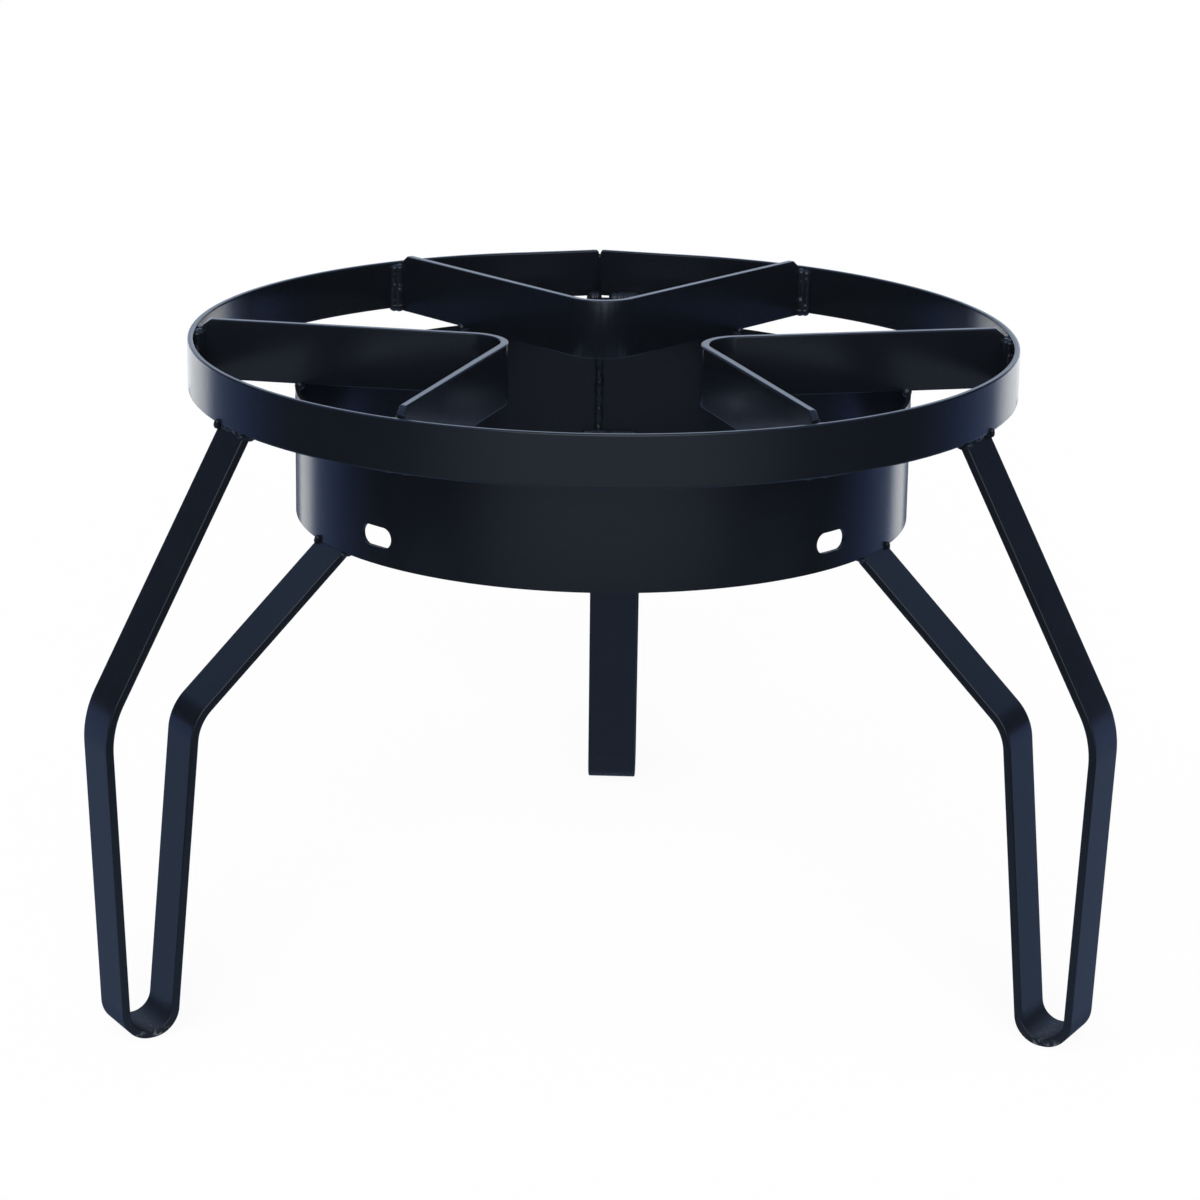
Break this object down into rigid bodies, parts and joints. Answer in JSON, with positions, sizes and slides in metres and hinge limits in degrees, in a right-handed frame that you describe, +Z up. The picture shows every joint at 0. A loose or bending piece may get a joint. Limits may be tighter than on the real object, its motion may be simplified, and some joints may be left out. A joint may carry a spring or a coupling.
{
  "type": "propane burner stand",
  "caption": "Low floor stand for a gas burner: a round flat-bar hoop with V-shaped pot supports over a short wind shroud, on splayed hairpin legs.",
  "frame": {"origin": "on the floor, under the middle of the hoop and the wind shroud", "axes": "+Z up; +Y towards the back leg, which stands beside the seam of the hoop; +X to the right, seen from the front, where the other two legs stand to the left and the right"},
  "size_m": [0.487, 0.4768, 0.32],
  "materials": {
    "coated_steel": "satin black powder coat with a cold blue tint over rolled steel bar and sheet",
    "coated_weld": "the same coat, a little glossier, over rippled weld beads"
  },
  "bodies": {
    "root": {"top_hoop": "coated_steel", "wind_shroud": "coated_steel", "pot_support_back": "coated_steel", "pot_support_left": "coated_steel", "pot_support_right": "coated_steel", "leg_back": "coated_steel", "leg_left": "coated_steel", "leg_right": "coated_steel", "hoop_seam_weld": "coated_weld", "shroud_seam_weld": "coated_weld", "support_weld_back_a": "coated_weld", "support_weld_back_b": "coated_weld", "support_weld_left_a": "coated_weld", "support_weld_left_b": "coated_weld", "support_weld_right_a": "coated_weld", "support_weld_right_b": "coated_weld", "shroud_weld_back_a": "coated_weld", "shroud_weld_back_b": "coated_weld", "shroud_weld_left_a": "coated_weld", "shroud_weld_left_b": "coated_weld", "shroud_weld_right_a": "coated_weld", "shroud_weld_right_b": "coated_weld", "leg_hoop_weld_back": "coated_weld", "leg_hoop_weld_left": "coated_weld", "leg_hoop_weld_right": "coated_weld", "leg_shroud_weld_back": "coated_weld", "leg_shroud_weld_left": "coated_weld", "leg_shroud_weld_right": "coated_weld"}
  },
  "joints": []
}
